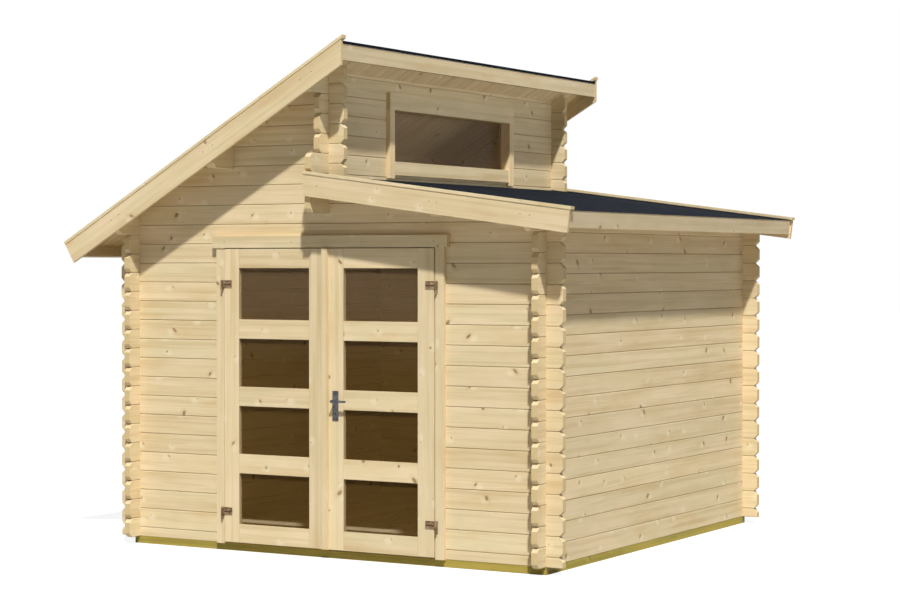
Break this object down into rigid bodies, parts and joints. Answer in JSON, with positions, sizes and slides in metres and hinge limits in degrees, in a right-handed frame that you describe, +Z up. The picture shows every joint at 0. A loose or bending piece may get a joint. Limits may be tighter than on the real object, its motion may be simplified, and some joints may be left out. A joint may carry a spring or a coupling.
{
  "type": "garden house",
  "caption": "Log-built garden house with a steep upper roof over a clerestory window, a shallow lower roof and a glazed double door.",
  "frame": {"origin": "on the ground under the middle of the footprint, at the underside of the middle floor joist", "axes": "+X towards the low-roofed side on the right, +Y from the door wall towards the back wall, +Z up"},
  "size_m": [3.6491, 3.44, 3.1561],
  "materials": {
    "spruce": "planed, untreated, matt",
    "treated_timber": "pressure-treated, olive green, matt",
    "roofing_felt": "mineral-surfaced felt, dark blue-grey, matt",
    "window_glass": "clear, smooth",
    "hinge_steel": "zinc-coated, dulled brown",
    "handle_iron": "dark grey, satin"
  },
  "bodies": {
    "house": {"base_end_beams": "treated_timber", "base_side_beams": "treated_timber", "floor_joists": "treated_timber", "floor_boards": "spruce", "front_wall_left": "spruce", "front_wall_right": "spruce", "front_gable": "spruce", "back_wall": "spruce", "peak_walls": "spruce", "left_wall": "spruce", "right_wall": "spruce", "plate_logs": "spruce", "clerestory_lower_logs": "spruce", "clerestory_side_logs": "spruce", "clerestory_top_log": "spruce", "upper_purlin": "spruce", "lower_purlin": "spruce", "roof_ledger": "spruce", "upper_roof_boards": "spruce", "upper_roof_felt": "roofing_felt", "lower_roof_boards": "spruce", "lower_roof_felt": "roofing_felt", "upper_verge_boards": "spruce", "upper_verge_caps": "spruce", "lower_verge_boards": "spruce", "lower_verge_caps": "spruce", "ridge_fascia": "spruce", "left_fascia": "spruce", "right_fascia": "spruce", "window_posts": "spruce", "window_rails": "spruce", "window_glass": "window_glass", "door_jambs": "spruce", "door_head": "spruce", "door_sill": "spruce", "hinge_pintles": "hinge_steel"},
    "left_door": {"left_leaf": "spruce", "left_panes": "window_glass", "left_hinge_straps": "hinge_steel"},
    "right_door": {"right_leaf": "spruce", "right_panes": "window_glass", "right_hinge_straps": "hinge_steel", "meeting_strip": "spruce", "handle_plates": "handle_iron"},
    "lever": {"lever": "handle_iron"}
  },
  "joints": [
    {"name": "left_door_hinge", "type": "hinge", "parent": "house", "child": "left_door", "pos_m": [-0.777, -1.528, 0.95], "axis": [0, 0, -1], "range_deg": [0, 110]},
    {"name": "right_door_hinge", "type": "hinge", "parent": "house", "child": "right_door", "pos_m": [0.777, -1.528, 0.95], "axis": [0, 0, 1], "range_deg": [0, 110]},
    {"name": "lever_spindle", "type": "hinge", "parent": "right_door", "child": "lever", "pos_m": [0.067, -1.52, 0.962], "axis": [0, 1, 0], "range_deg": [0, 40], "stiffness_Nm_per_rad": 0.8, "springref_deg": -28.65}
  ]
}
